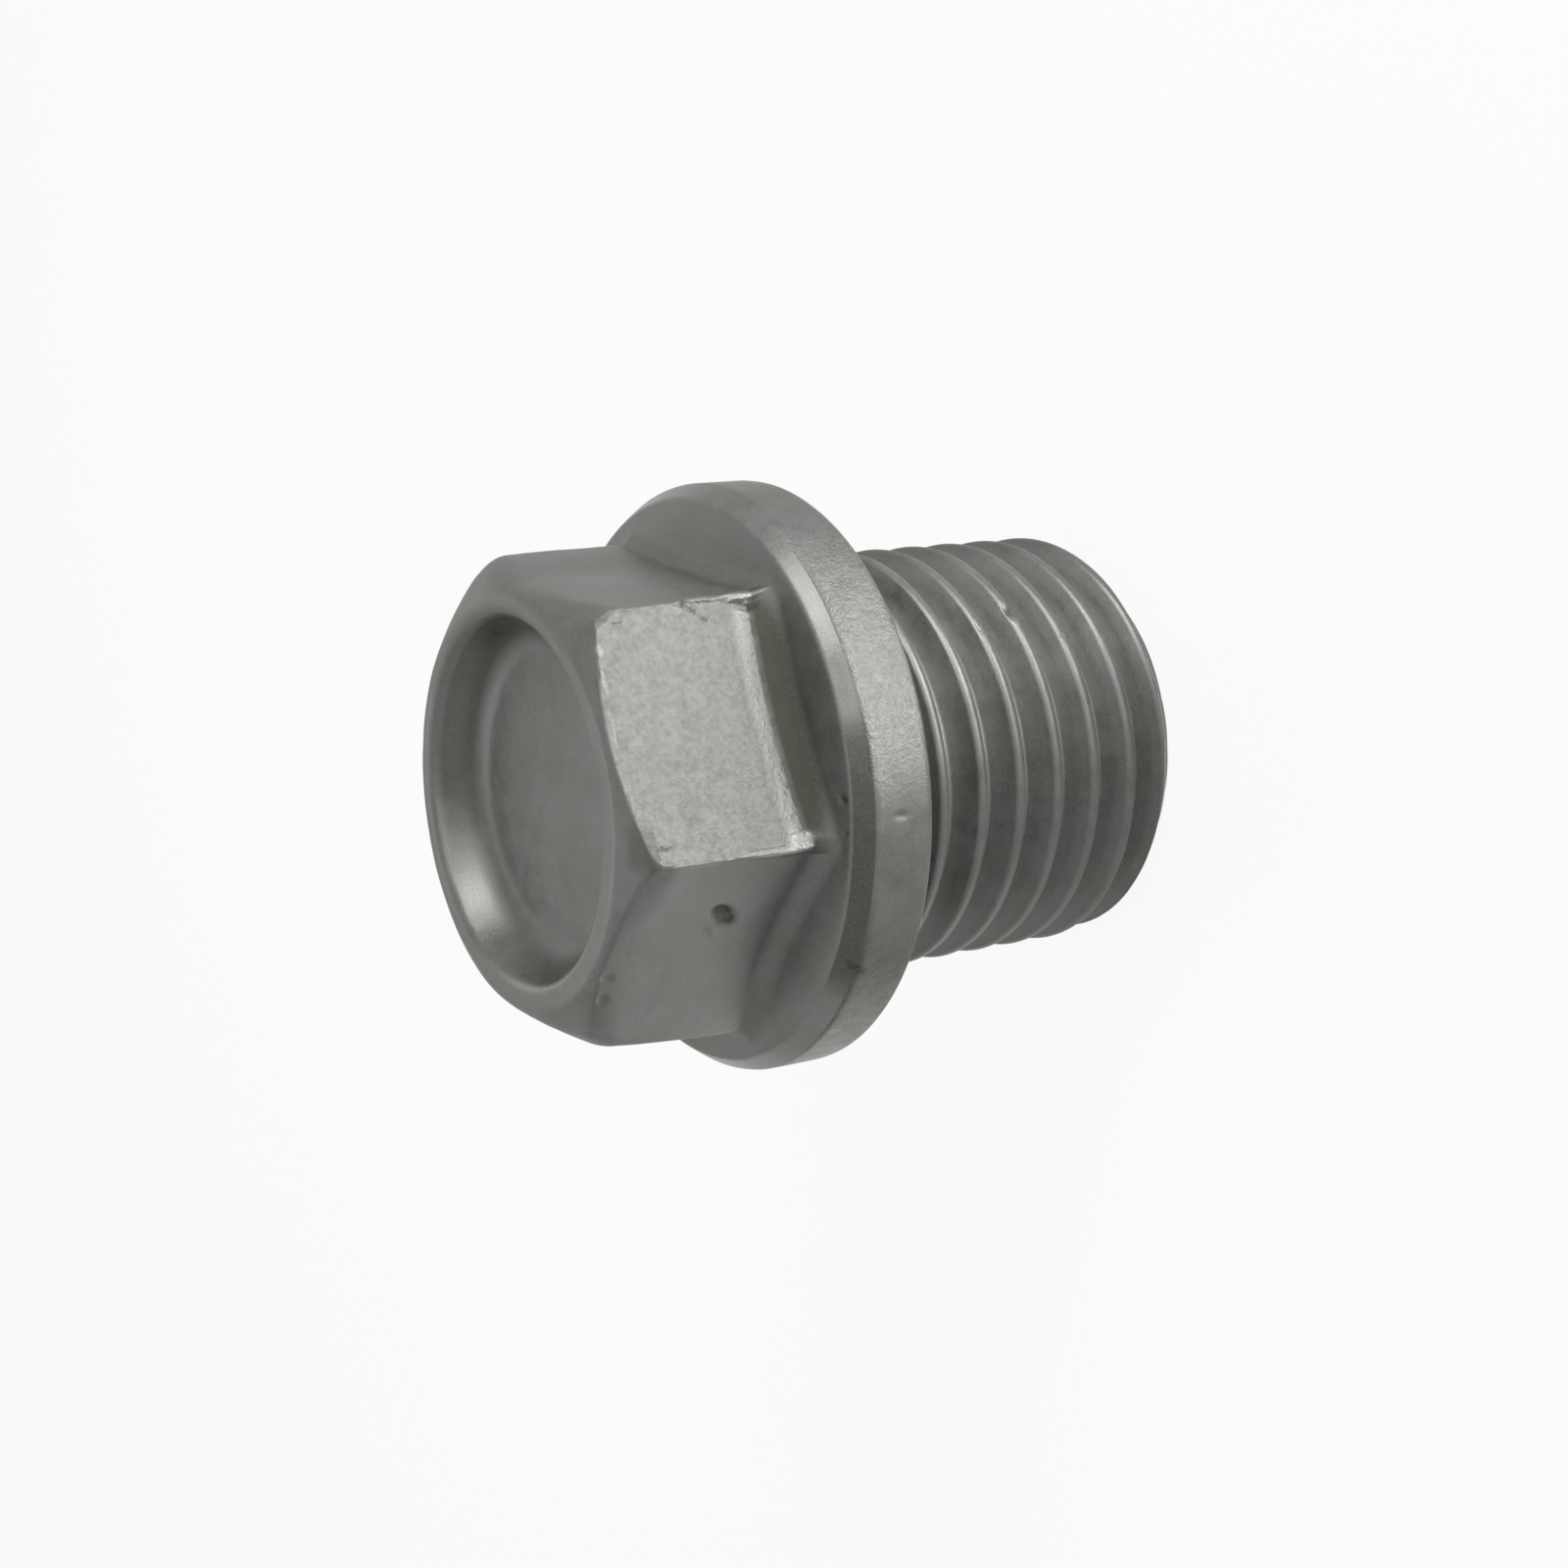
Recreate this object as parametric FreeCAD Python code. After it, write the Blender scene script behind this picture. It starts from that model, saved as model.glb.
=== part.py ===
import FreeCAD, Part
import math
import os

# Oil drain plug, one cold-forged and rolled piece of steel.
# It stands on its threaded end: the tip face is z = 0, the axis is +Z and the hexagon is on top.
# Millimetres. The hexagon has a flat square to -Y.

# Thread, a standard metric fine size
THREAD_DIAMETER = 14.0
THREAD_PITCH = 1.5
CREST_CUT = 0.05            # the crests stand this far inside the nominal radius
CREST_WIDTH_SHARE = 0.125   # flat on a crest, as a share of the pitch
FLANK_ANGLE = 30.0          # each flank from the plane square to the axis, degrees
ROOT_DEPTH_SHARE = 0.6      # depth of the groove, as a share of the pitch
CREST_TURN = 5.4            # a crest crosses the -Y side this far above the tip face
GROOVE_RUN_OUT = 0.15       # the groove's middle ends this far into the neck
TOOL_OVERSHOOT = 0.08       # the groove's tool stands this far out of the crests

# Shank
SHANK_LENGTH = 12.0         # tip face to bearing face
BELOW_ROOT = 0.05           # the neck and the tip's bevel reach this far under the groove
NECK_LENGTH = 1.2           # plain relief between the bearing face and the thread
NECK_SLOPE = 0.6            # run of the cone from the neck out to the crests
NECK_FILLET_PAST = 0.05     # the neck's fillet ends this far outside the crests

# Hexagon
ACROSS_FLATS = 14.0         # at the flange
FLAT_DRAFT = 2.0            # each flat leans inwards towards the end, degrees
HEAD_HEIGHT = 9.3           # bearing face to the end of the head
END_CHAMFER_ANGLE = 28.0    # from the plane of the end
END_RING_INSET = 0.27       # the end ring stands this far inside the middles of the flats
END_ROUND = 0.25            # between the end ring and the chamfer
CORNER_ROUND = 0.15

# Dished recess in the end of the head
END_RING_WIDTH = 0.75
RECESS_DEPTH = 1.6
RECESS_WALL_RUN = 0.85      # the wall leans in this far between the end and the floor
RECESS_FLOOR_FILLET = 0.9
LIP_BEVEL = 0.25

# Flange
FLANGE_OVERHANG = 1.42      # the rim stands this far outside the hexagon's corners
FLANGE_THICKNESS = 2.75     # at the edge of its front cone
RIM_BEVEL = 0.65            # height of the band between the rim and the front cone
RIM_BEVEL_INSET = 0.45
FRONT_CONE_SLOPE = 0.22     # rise for each unit of radius inwards
ROOT_FILLET_SHARE = 0.72    # of the cone left clear outside the hexagon's corners
RIM_BACK_ROUND = 0.25
RIM_FRONT_ROUND = 0.15

CREST_RADIUS = THREAD_DIAMETER / 2 - CREST_CUT
ROOT_DEPTH = ROOT_DEPTH_SHARE * THREAD_PITCH
ROOT_RADIUS = CREST_RADIUS - ROOT_DEPTH
NECK_RADIUS = ROOT_RADIUS - BELOW_ROOT
TIP_BEVEL = ROOT_DEPTH + BELOW_ROOT
NECK_FILLET = TIP_BEVEL + NECK_FILLET_PAST
BEARING_Z = SHANK_LENGTH
END_Z = BEARING_Z + HEAD_HEIGHT
FRONT_EDGE_Z = BEARING_Z + FLANGE_THICKNESS
RIM_RADIUS = ACROSS_FLATS / 2 / math.cos(math.pi / 6) + FLANGE_OVERHANG
CONE_EDGE = RIM_RADIUS - RIM_BEVEL_INSET
ROOT_FILLET = ROOT_FILLET_SHARE * (FLANGE_OVERHANG - RIM_BEVEL_INSET)


def apothem(z):
    """From the axis to the middle of a flat at one height; the flats lean inwards."""
    return ACROSS_FLATS / 2 - math.tan(math.radians(FLAT_DRAFT)) * (z - FRONT_EDGE_Z)


END_RADIUS = apothem(END_Z) - END_RING_INSET
RECESS_RADIUS = END_RADIUS - END_RING_WIDTH
RECESS_FLOOR_RADIUS = RECESS_RADIUS - RECESS_WALL_RUN


def corner_arc(before, corner, after, radius):
    """Ends and middle of the arc that rounds one corner of an outline."""
    back = (before - corner).normalize()
    ahead = (after - corner).normalize()
    half = back.getAngle(ahead) / 2
    reach = radius / math.tan(half)
    centre = corner + (back + ahead).normalize() * (radius / math.sin(half))
    middle = centre + (corner - centre).normalize() * radius
    return corner + back * reach, middle, corner + ahead * reach


def turned(outline):
    """Solid of revolution from a closed outline of (radius, z, rounding) points."""
    points = [FreeCAD.Vector(r, 0, z) for r, z, rounding in outline]
    edges = []
    spans = []
    for i, (r, z, rounding) in enumerate(outline):
        corner = points[i]
        if rounding:
            spans.append(corner_arc(points[i - 1], corner, points[(i + 1) % len(points)], rounding))
        else:
            spans.append((corner, None, corner))
    for i, (start, middle, end) in enumerate(spans):
        if middle is not None:
            edges.append(Part.Arc(start, middle, end).toShape())
        following = spans[(i + 1) % len(spans)][0]
        if end.distanceToPoint(following) > 1e-6:
            edges.append(Part.makeLine(end, following))
    face = Part.Face(Part.Wire(edges))
    return face.revolve(FreeCAD.Vector(0, 0, 0), FreeCAD.Vector(0, 0, 1), 360)


def hexagon_outline(z):
    """Hexagon at one height, with a flat square to -Y."""
    radius = apothem(z) / math.cos(math.pi / 6)
    corners = [
        FreeCAD.Vector(radius * math.cos(k * math.pi / 3), radius * math.sin(k * math.pi / 3), z)
        for k in range(6)]
    return Part.makePolygon(corners + corners[:1])


def turned_blank():
    """Plain shank, neck and flange as one turned body."""
    neck_start = BEARING_Z - NECK_LENGTH
    return turned([
        (0, 0, 0),
        (CREST_RADIUS - TIP_BEVEL, 0, 0),
        (CREST_RADIUS, TIP_BEVEL, 0),
        (CREST_RADIUS, neck_start - NECK_SLOPE, 0),
        (NECK_RADIUS, neck_start, 0),
        (NECK_RADIUS, BEARING_Z, NECK_FILLET),
        (RIM_RADIUS, BEARING_Z, RIM_BACK_ROUND),
        (RIM_RADIUS, FRONT_EDGE_Z - RIM_BEVEL, RIM_FRONT_ROUND),
        (CONE_EDGE, FRONT_EDGE_Z, RIM_FRONT_ROUND),
        (0, FRONT_EDGE_Z + FRONT_CONE_SLOPE * CONE_EDGE, 0)])


def with_hexagon(blank):
    """The blank with its hexagon: rounded corners, root fillet, end chamfer and recess."""
    prism = Part.makeLoft([hexagon_outline(BEARING_Z + 0.5), hexagon_outline(END_Z + 1)], True, True)
    upright = [e for e in prism.Edges if abs(e.Vertexes[0].Z - e.Vertexes[1].Z) > 1]
    prism = prism.makeFillet(CORNER_ROUND, upright)
    body = blank.fuse(prism)
    body = body.makeFillet(ROOT_FILLET, [e for e in body.Edges if on_root(e)])
    fall = math.tan(math.radians(END_CHAMFER_ANGLE))
    reach = RIM_RADIUS + 1
    envelope = turned([
        (0, -1, 0),
        (reach, -1, 0),
        (reach, END_Z - fall * (reach - END_RADIUS), 0),
        (END_RADIUS, END_Z, END_ROUND),
        (0, END_Z, 0)])
    recess = turned([
        (0, END_Z - RECESS_DEPTH, 0),
        (RECESS_FLOOR_RADIUS, END_Z - RECESS_DEPTH, RECESS_FLOOR_FILLET),
        (RECESS_RADIUS - LIP_BEVEL, END_Z - LIP_BEVEL, 0),
        (RECESS_RADIUS, END_Z, 0),
        (RECESS_RADIUS, END_Z + 2, 0),
        (0, END_Z + 2, 0)])
    return body.common(envelope).cut(recess)


def on_root(edge):
    """Whether an edge lies where the hexagon meets the flange's front cone."""
    middle = (edge.FirstParameter + edge.LastParameter) / 2
    for parameter in (edge.FirstParameter, middle, edge.LastParameter):
        point = edge.valueAt(parameter)
        inwards = CONE_EDGE - math.hypot(point.x, point.y)
        cone = FRONT_EDGE_Z + FRONT_CONE_SLOPE * inwards
        if abs(point.z - cone) > 0.02 or inwards < 0.3 * FLANGE_OVERHANG:
            return False
    return edge.Length > 0.01


def thread_groove():
    """Tool for the groove of a right-hand thread, running out past the tip and into the neck."""
    end = BEARING_Z - NECK_LENGTH + GROOVE_RUN_OUT
    start = CREST_TURN - 0.5 * THREAD_PITCH
    while start > -THREAD_PITCH:
        start -= THREAD_PITCH
    helix = Part.makeLongHelix(THREAD_PITCH, end - start, ROOT_RADIUS, 0, False)
    helix.rotate(FreeCAD.Vector(0, 0, 0), FreeCAD.Vector(0, 0, 1), -90)
    helix.translate(FreeCAD.Vector(0, 0, start))
    half_crest_gap = THREAD_PITCH * (1 - CREST_WIDTH_SHARE) / 2
    flank = math.tan(math.radians(FLANK_ANGLE))
    half_root = half_crest_gap - flank * (CREST_RADIUS - ROOT_RADIUS)
    half_mouth = half_crest_gap + flank * TOOL_OVERSHOOT
    mouth_radius = CREST_RADIUS + TOOL_OVERSHOOT
    section = [
        (ROOT_RADIUS, -half_root),
        (mouth_radius, -half_mouth),
        (mouth_radius, half_mouth),
        (ROOT_RADIUS, half_root)]
    corners = [FreeCAD.Vector(0, -r, start + h) for r, h in section]
    profile = Part.makePolygon(corners + corners[:1])
    return Part.Wire(helix).makePipeShell([profile], True, True)


os.makedirs("parts", exist_ok=True)
blank = turned_blank()
# The seam of the turned faces goes to the middle of a flat, clear of the fillet's corners
blank.rotate(FreeCAD.Vector(0, 0, 0), FreeCAD.Vector(0, 0, 1), 30)
plug = with_hexagon(blank).cut(thread_groove()).removeSplitter()
print("valid", plug.isValid(), "solids", len(plug.Solids), "volume", round(plug.Volume, 2))
plug.exportStep("parts/drain_plug.step")
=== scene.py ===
import math

import bmesh
import bpy
from mathutils import Matrix, Vector, noise


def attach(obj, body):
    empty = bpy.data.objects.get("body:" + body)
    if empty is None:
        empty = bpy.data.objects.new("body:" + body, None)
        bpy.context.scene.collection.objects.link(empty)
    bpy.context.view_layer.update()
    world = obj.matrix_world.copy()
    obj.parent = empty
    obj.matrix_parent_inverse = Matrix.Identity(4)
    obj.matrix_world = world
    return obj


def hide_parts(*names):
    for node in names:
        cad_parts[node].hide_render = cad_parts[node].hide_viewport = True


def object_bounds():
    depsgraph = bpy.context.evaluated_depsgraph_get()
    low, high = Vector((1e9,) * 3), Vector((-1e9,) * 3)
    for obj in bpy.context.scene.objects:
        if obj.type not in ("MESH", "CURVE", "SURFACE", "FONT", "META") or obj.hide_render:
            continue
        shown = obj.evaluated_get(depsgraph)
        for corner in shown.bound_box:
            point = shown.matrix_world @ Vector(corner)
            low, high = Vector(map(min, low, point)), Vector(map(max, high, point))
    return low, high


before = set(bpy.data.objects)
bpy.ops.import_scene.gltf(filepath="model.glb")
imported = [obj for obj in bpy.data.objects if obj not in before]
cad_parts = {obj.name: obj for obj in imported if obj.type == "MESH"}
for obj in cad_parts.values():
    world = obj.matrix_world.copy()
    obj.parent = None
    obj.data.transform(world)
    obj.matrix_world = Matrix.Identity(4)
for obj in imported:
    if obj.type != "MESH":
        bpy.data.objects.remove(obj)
cad_low, cad_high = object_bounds()

# A forged and zinc plated oil drain plug, standing on the tip of its thread.
# Lengths are millimetres, angles are degrees. The axis is +Z and one flat of the hexagon faces -Y.
MM = 0.001
FRONT = -90                 # the direction that the front flat faces
LEFT = -150                 # and the flat to its left
RIM_RADIUS = min(cad_high[0], cad_high[1], -cad_low[0], -cad_low[1]) / MM
END_Z = cad_high[2] / MM

# Thread and neck
THREAD_PITCH = 1.5
CREST_RADIUS = 6.95
CREST_TURN = 5.4            # a crest crosses the -Y side at this height
CREST_ROUND = 0.24
ROOT_DEPTH = 0.9
ROOT_ROUND = 0.15
FLANK_ANGLE = 30.0
BELOW_ROOT = 0.05
NECK_LENGTH = 1.2
NECK_SLOPE = 0.6
NECK_FILLET = 1.0

# Flange
BEARING_Z = 12.0
FLANGE_THICKNESS = 2.75
RIM_BEVEL = 0.65
RIM_BEVEL_INSET = 0.45
FRONT_CONE_SLOPE = 0.22
RIM_BACK_ROUND = 0.35
RIM_FRONT_ROUND = 0.6
CONE_EDGE_ROUND = 0.3

# Hexagon
ACROSS_FLATS = 14.0         # at the flange
FLAT_DRAFT = 2.0
END_CHAMFER_ANGLE = 28.0
END_RING_INSET = 0.27
END_ROUND = 0.4
CHAMFER_EDGE_ROUND = 0.1
CRISP_CORNER_ROUND = 0.12   # the two corners beside the -Y flat
CRISP_CORNER_LOSS = 0.1     # extra rounding of a crisp corner at the end
CRISP_LOSS_HEIGHT = 1.4
DULL_CORNER_ROUND = 0.5     # the others, which the dies filled less
DULL_CORNER_LOSS = 0.8
DULL_LOSS_HEIGHT = 3.0
ROOT_FILLET = 0.7
FULL_ROOT_FILLET = 0.95     # at the corner on the -X side
ROOT_BEVEL_RUN = 0.62       # the front flat's root is a short bevel instead
ROOT_BEVEL_END = 0.85
CORNER_SWELLS = {0: (0.12, 0.30), 180: (0.22, 0.14)}    # at the flange and at the end
SWELL_FADE = (4, 26)        # degrees from the corner

# How far the end chamfer is lost in one soft curve, by the direction that the flat faces
DULLNESS = {LEFT: 0.35, FRONT: 0.0, -30: 1.0, 30: 0.8, 90: 0.6, 150: 0.8}
FLAT_BLEND = (26, 34)       # degrees from a flat's middle, where it gives way to the next
CHAMFER_FADE = 0.9          # height of the flat that the chamfer's curve reaches down

# Dished recess
END_RING_WIDTH = 0.75
RECESS_DEPTH = 1.6
RECESS_WALL_RUN = 0.85
RECESS_FLOOR_FILLET = 0.9
LIP_ROUND = 0.45
END_RING_FLAT = 0.25        # the end ring is plain this far inside its outer edge
RECESS_GROWTH = 0.1         # the punch left the recess a little wide and off centre
RECESS_SHIFT = 0.15
RECESS_SHIFT_TOWARDS = 20

ROOT_RADIUS = CREST_RADIUS - ROOT_DEPTH
NECK_RADIUS = ROOT_RADIUS - BELOW_ROOT
TIP_BEVEL = ROOT_DEPTH + BELOW_ROOT
FRONT_EDGE_Z = BEARING_Z + FLANGE_THICKNESS
BAND_Z = FRONT_EDGE_Z - RIM_BEVEL       # lower edge of the band between the rim and the cone
CONE_EDGE = RIM_RADIUS - RIM_BEVEL_INSET
DRAFT = math.tan(math.radians(FLAT_DRAFT))
CHAMFER_FALL = math.tan(math.radians(END_CHAMFER_ANGLE))
CONE_ANGLE = math.atan(FRONT_CONE_SLOPE)


def apothem(z):
    """From the axis to the middle of a flat; the flats lean inwards towards the end."""
    return ACROSS_FLATS / 2 - DRAFT * (z - FRONT_EDGE_Z)


END_RADIUS = apothem(END_Z) - END_RING_INSET
RECESS_RADIUS = END_RADIUS - END_RING_WIDTH
RECESS_FLOOR_RADIUS = RECESS_RADIUS - RECESS_WALL_RUN
RECESS_FLOOR_Z = END_Z - RECESS_DEPTH


# Outline of the head and flange

def hexagon_radius(from_middle, flat_distance, corner_round):
    """Radius of a hexagon with rounded corners, at so many radians from the middle of a flat."""
    corner = math.pi / 6
    turn = abs(from_middle)
    if flat_distance * math.tan(turn) <= (flat_distance - corner_round) * math.tan(corner):
        return flat_distance / math.cos(turn)
    arc_centre = (flat_distance - corner_round) / math.cos(corner)
    off = corner - turn
    beside = arc_centre * math.sin(off)
    return arc_centre * math.cos(off) + math.sqrt(corner_round ** 2 - beside ** 2)


def soft_step(value, low, high):
    share = min(max((value - low) / (high - low), 0.0), 1.0)
    return share * share * (3 - 2 * share)


def turn_between(angle, other):
    """Smallest turn between two directions, both in degrees."""
    return abs((angle - other + 180) % 360 - 180)


def corner_rounding(angle, z):
    """Rounding of the nearest corner; the dull corners lose more metal towards the end."""
    corner = 60 * round(angle / 60)
    if turn_between(corner, FRONT) < 45:
        loss = soft_step(z, END_Z - CRISP_LOSS_HEIGHT, END_Z)
        return CRISP_CORNER_ROUND + CRISP_CORNER_LOSS * loss
    loss = soft_step(z, END_Z - DULL_LOSS_HEIGHT, END_Z)
    return DULL_CORNER_ROUND + DULL_CORNER_LOSS * loss


def hexagon_at(angle, z, spread=0.0):
    """Radius of the hexagon at an angle in degrees, moved outwards by some spread."""
    side = 60 * math.floor((angle + 60) / 60) - 30
    rounding = corner_rounding(angle, z) + spread
    radius = hexagon_radius(math.radians(angle - side), apothem(z) + spread, rounding)
    for corner, (at_flange, at_end) in CORNER_SWELLS.items():
        swell = at_flange + (at_end - at_flange) * soft_step(z, FRONT_EDGE_Z, END_Z)
        radius += swell * (1 - soft_step(turn_between(angle, corner), *SWELL_FADE))
    return radius


def from_flats(shares, angle):
    """A value given for each flat, blended across the corners."""
    weights = {side: 1 - soft_step(turn_between(angle, side), *FLAT_BLEND) for side in shares}
    return sum(shares[side] * weight for side, weight in weights.items()) / sum(weights.values())


def rounded(points, steps):
    """A path of (radius, z, rounding) corners as points, each corner an arc of so many steps."""
    path = []
    for i, (r, z, rounding) in enumerate(points):
        here = Vector((r, z))
        if not rounding or i in (0, len(points) - 1):
            path.append(here)
            continue
        back = (Vector(points[i - 1][:2]) - here).normalized()
        ahead = (Vector(points[i + 1][:2]) - here).normalized()
        half = back.angle(ahead) / 2
        reach = rounding / math.tan(half)
        centre = here + (back + ahead).normalized() * (rounding / math.sin(half))
        first = here + back * reach - centre
        last = here + ahead * reach - centre
        sweep = first.angle_signed(last)
        for k in range(steps + 1):
            path.append(centre + Matrix.Rotation(-sweep * k / steps, 2) @ first)
    return path


def bend(controls, count):
    """Points along a cubic curve after its first point."""
    first, second, third, last = controls
    path = []
    for k in range(1, count + 1):
        t = k / count
        u = 1 - t
        path.append(u ** 3 * first + 3 * u * u * t * second + 3 * u * t * t * third + t ** 3 * last)
    return path


def between(start, end, count):
    """Evenly spread points after start, up to and including end."""
    return [start.lerp(end, (k + 1) / count) for k in range(count)]


def cone_height(r):
    return FRONT_EDGE_Z + FRONT_CONE_SLOPE * (CONE_EDGE - r)


FLOOR_RINGS = (0.5, 1.0, 1.6, 2.2, 2.8)
FLOOR_EDGE = 1.5            # the floor is divided finely from this far inside its edge
RECESS_STEP = 0.22


def recess_path():
    """From the middle of the recess floor out over the lip to the end ring."""
    bends = rounded([
        (RECESS_FLOOR_RADIUS - FLOOR_EDGE, RECESS_FLOOR_Z, 0),
        (RECESS_FLOOR_RADIUS, RECESS_FLOOR_Z, RECESS_FLOOR_FILLET),
        (RECESS_RADIUS, END_Z, LIP_ROUND),
        (END_RADIUS - END_RING_FLAT, END_Z, 0)], 6)
    path = [Vector((r, RECESS_FLOOR_Z)) for r in FLOOR_RINGS]
    path.append(bends[0])
    for before, after in zip(bends, bends[1:]):
        count = max(1, round((after - before).length / RECESS_STEP))
        path.extend(between(before, after, count))
    return path


def off_centre(path, angle):
    """The recess's path at an angle, widened as the punch left it, up to the end ring."""
    reach = RECESS_GROWTH + RECESS_SHIFT * math.cos(math.radians(angle - RECESS_SHIFT_TOWARDS))
    moved = []
    for p in path:
        in_ring = soft_step(p.x, RECESS_RADIUS + 0.1, END_RADIUS - END_RING_FLAT)
        share = soft_step(p.x, 1.5, 4.5) * (1 - in_ring)
        moved.append(Vector((p.x + reach * share, p.y)))
    return moved


CLOSING_TURNS = 30          # to close in on where the chamfer meets the leaning flat


def end_chamfer(angle, start):
    """From the end ring over the chamfer to the top of a flat, crisp or lost in a soft curve."""
    r = END_RADIUS
    for turn in range(CLOSING_TURNS):
        z = END_Z - CHAMFER_FALL * (r - END_RADIUS)
        r = hexagon_at(angle, z)
    foot = Vector((hexagon_at(angle, z - CHAMFER_FADE), z - CHAMFER_FADE))
    corners = [
        (start.x, start.y, 0),
        (END_RADIUS, END_Z, END_ROUND),
        (r, z, CHAMFER_EDGE_ROUND),
        (foot.x, foot.y, 0)]
    arcs = rounded(corners, 5)
    crisp = arcs[1:7] + between(arcs[6], arcs[7], 6) + arcs[8:13] + between(arcs[12], foot, 12)
    dull = bend([start, Vector((END_RADIUS, END_Z)), Vector((r, z)), foot], len(crisp))
    share = from_flats(DULLNESS, angle)
    return [sharp.lerp(soft, share) for sharp, soft in zip(crisp, dull)]


ROOT_STEPS = 8


def root_tangent():
    """From where a flat would meet the cone up to where the root fillet starts."""
    return ROOT_FILLET / math.tan((math.pi / 2 + CONE_ANGLE) / 2)


def foot_height(angle):
    """Where a flat ends and its root starts."""
    return cone_height(hexagon_at(angle, FRONT_EDGE_Z + 0.5)) + root_tangent()


def root_path(angle, foot_z):
    """From the foot of a flat out to the cone: a fillet, or a short bevel under the front flat."""
    fuller = 1 - soft_step(turn_between(angle, 180), 12, 30)
    fillet = ROOT_FILLET + (FULL_ROOT_FILLET - ROOT_FILLET) * fuller
    start = Vector((hexagon_at(angle, foot_z), foot_z))
    last_turn = math.pi / 2 - CONE_ANGLE
    arc = []
    for k in range(1, ROOT_STEPS + 1):
        turn = last_turn * k / ROOT_STEPS
        spread = fillet * (1 - math.cos(turn))
        r = hexagon_at(angle, foot_z, spread)
        rise = root_tangent() - ROOT_FILLET * math.sin(turn) + FRONT_CONE_SLOPE * spread
        arc.append(Vector((r, cone_height(r) + rise)))
    knee = Vector((start.x + ROOT_BEVEL_RUN, cone_height(start.x + ROOT_BEVEL_RUN)))
    end = Vector((start.x + ROOT_BEVEL_END, cone_height(start.x + ROOT_BEVEL_END)))
    bevel = bend([start, start.lerp(knee, 0.7), knee, end], ROOT_STEPS)
    share = 1 - soft_step(turn_between(angle, FRONT), 27, 31)
    return [soft.lerp(sharp, share) for soft, sharp in zip(arc, bevel)]


FLAT_ROWS = 44


def flat_path(angle, start):
    """Down the end chamfer, a flat and its root to the front cone, at an angle in degrees."""
    path = end_chamfer(angle, start)
    foot_z = foot_height(angle)
    top_z = path[-1].y
    for k in range(1, FLAT_ROWS + 1):
        share = k / FLAT_ROWS
        row_z = top_z + (foot_z - top_z) * math.sin(share * math.pi / 2) ** 1.2
        path.append(Vector((hexagon_at(angle, row_z), row_z)))
    return path + root_path(angle, foot_z)


# Divisions of the flange's outline: cone, arc, band, arc, rim, arc, bearing face, arc, neck
FLANGE_STEPS = [6] + [1] * 4 + [5] + [1] * 4 + [12] + [1] * 4 + [4] + [1] * 5


def flange_path(start):
    """Out over the front cone, round the rim, in over the bearing face and down into the neck."""
    bends = rounded([
        (start.x, start.y, 0),
        (CONE_EDGE, FRONT_EDGE_Z, CONE_EDGE_ROUND),
        (RIM_RADIUS, FRONT_EDGE_Z - RIM_BEVEL, RIM_FRONT_ROUND),
        (RIM_RADIUS, BEARING_Z, RIM_BACK_ROUND),
        (NECK_RADIUS, BEARING_Z, NECK_FILLET),
        (NECK_RADIUS, BEARING_Z - NECK_LENGTH, 0)], 4)
    path = []
    for before, after, count in zip(bends, bends[1:], FLANGE_STEPS):
        path.extend(between(before, after, count))
    return path


FLAT_COLUMNS = {LEFT: 76, FRONT: 120, -30: 40, 30: 32, 90: 32, 150: 32}
FLAT_REACH = 0.955          # of half a flat's width; the corner's own columns follow
CORNER_COLUMNS = (0.962, 0.972, 0.981, 0.988, 0.994)


def head_columns():
    """Angles in degrees round the head, closer together at the corners and on the near flats."""
    columns = []
    for middle, count in FLAT_COLUMNS.items():
        inner = [FLAT_REACH * (2 * k / (count - 1) - 1) for k in range(count)]
        for share in [-1.0] + [-c for c in reversed(CORNER_COLUMNS)] + inner + list(CORNER_COLUMNS):
            columns.append(middle + math.degrees(math.atan(share * math.tan(math.pi / 6))))
    return columns


def head_and_flange(mesh):
    """Adds the head, flange and neck, and returns the neck's lowest ring of vertices."""
    columns = []
    inner = recess_path()
    for angle in head_columns():
        path = off_centre(inner, angle)
        path.extend(flat_path(angle, inner[-1]))
        path.extend(flange_path(path[-1]))
        x = math.cos(math.radians(angle))
        y = math.sin(math.radians(angle))
        columns.append([mesh.verts.new((p.x * x, p.x * y, p.y)) for p in path])
    centre = mesh.verts.new((0, 0, RECESS_FLOOR_Z))
    for i, column in enumerate(columns):
        following = columns[(i + 1) % len(columns)]
        mesh.faces.new((centre, column[0], following[0]))
        for k in range(len(column) - 1):
            mesh.faces.new((column[k], column[k + 1], following[k + 1], following[k]))
    return [column[-1] for column in columns]


# Thread

THREAD_COLUMNS = 216
ROOT_POINTS = 3             # from a root's middle to its flank
CREST_POINTS = 7            # from a flank to the crest's middle


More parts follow.
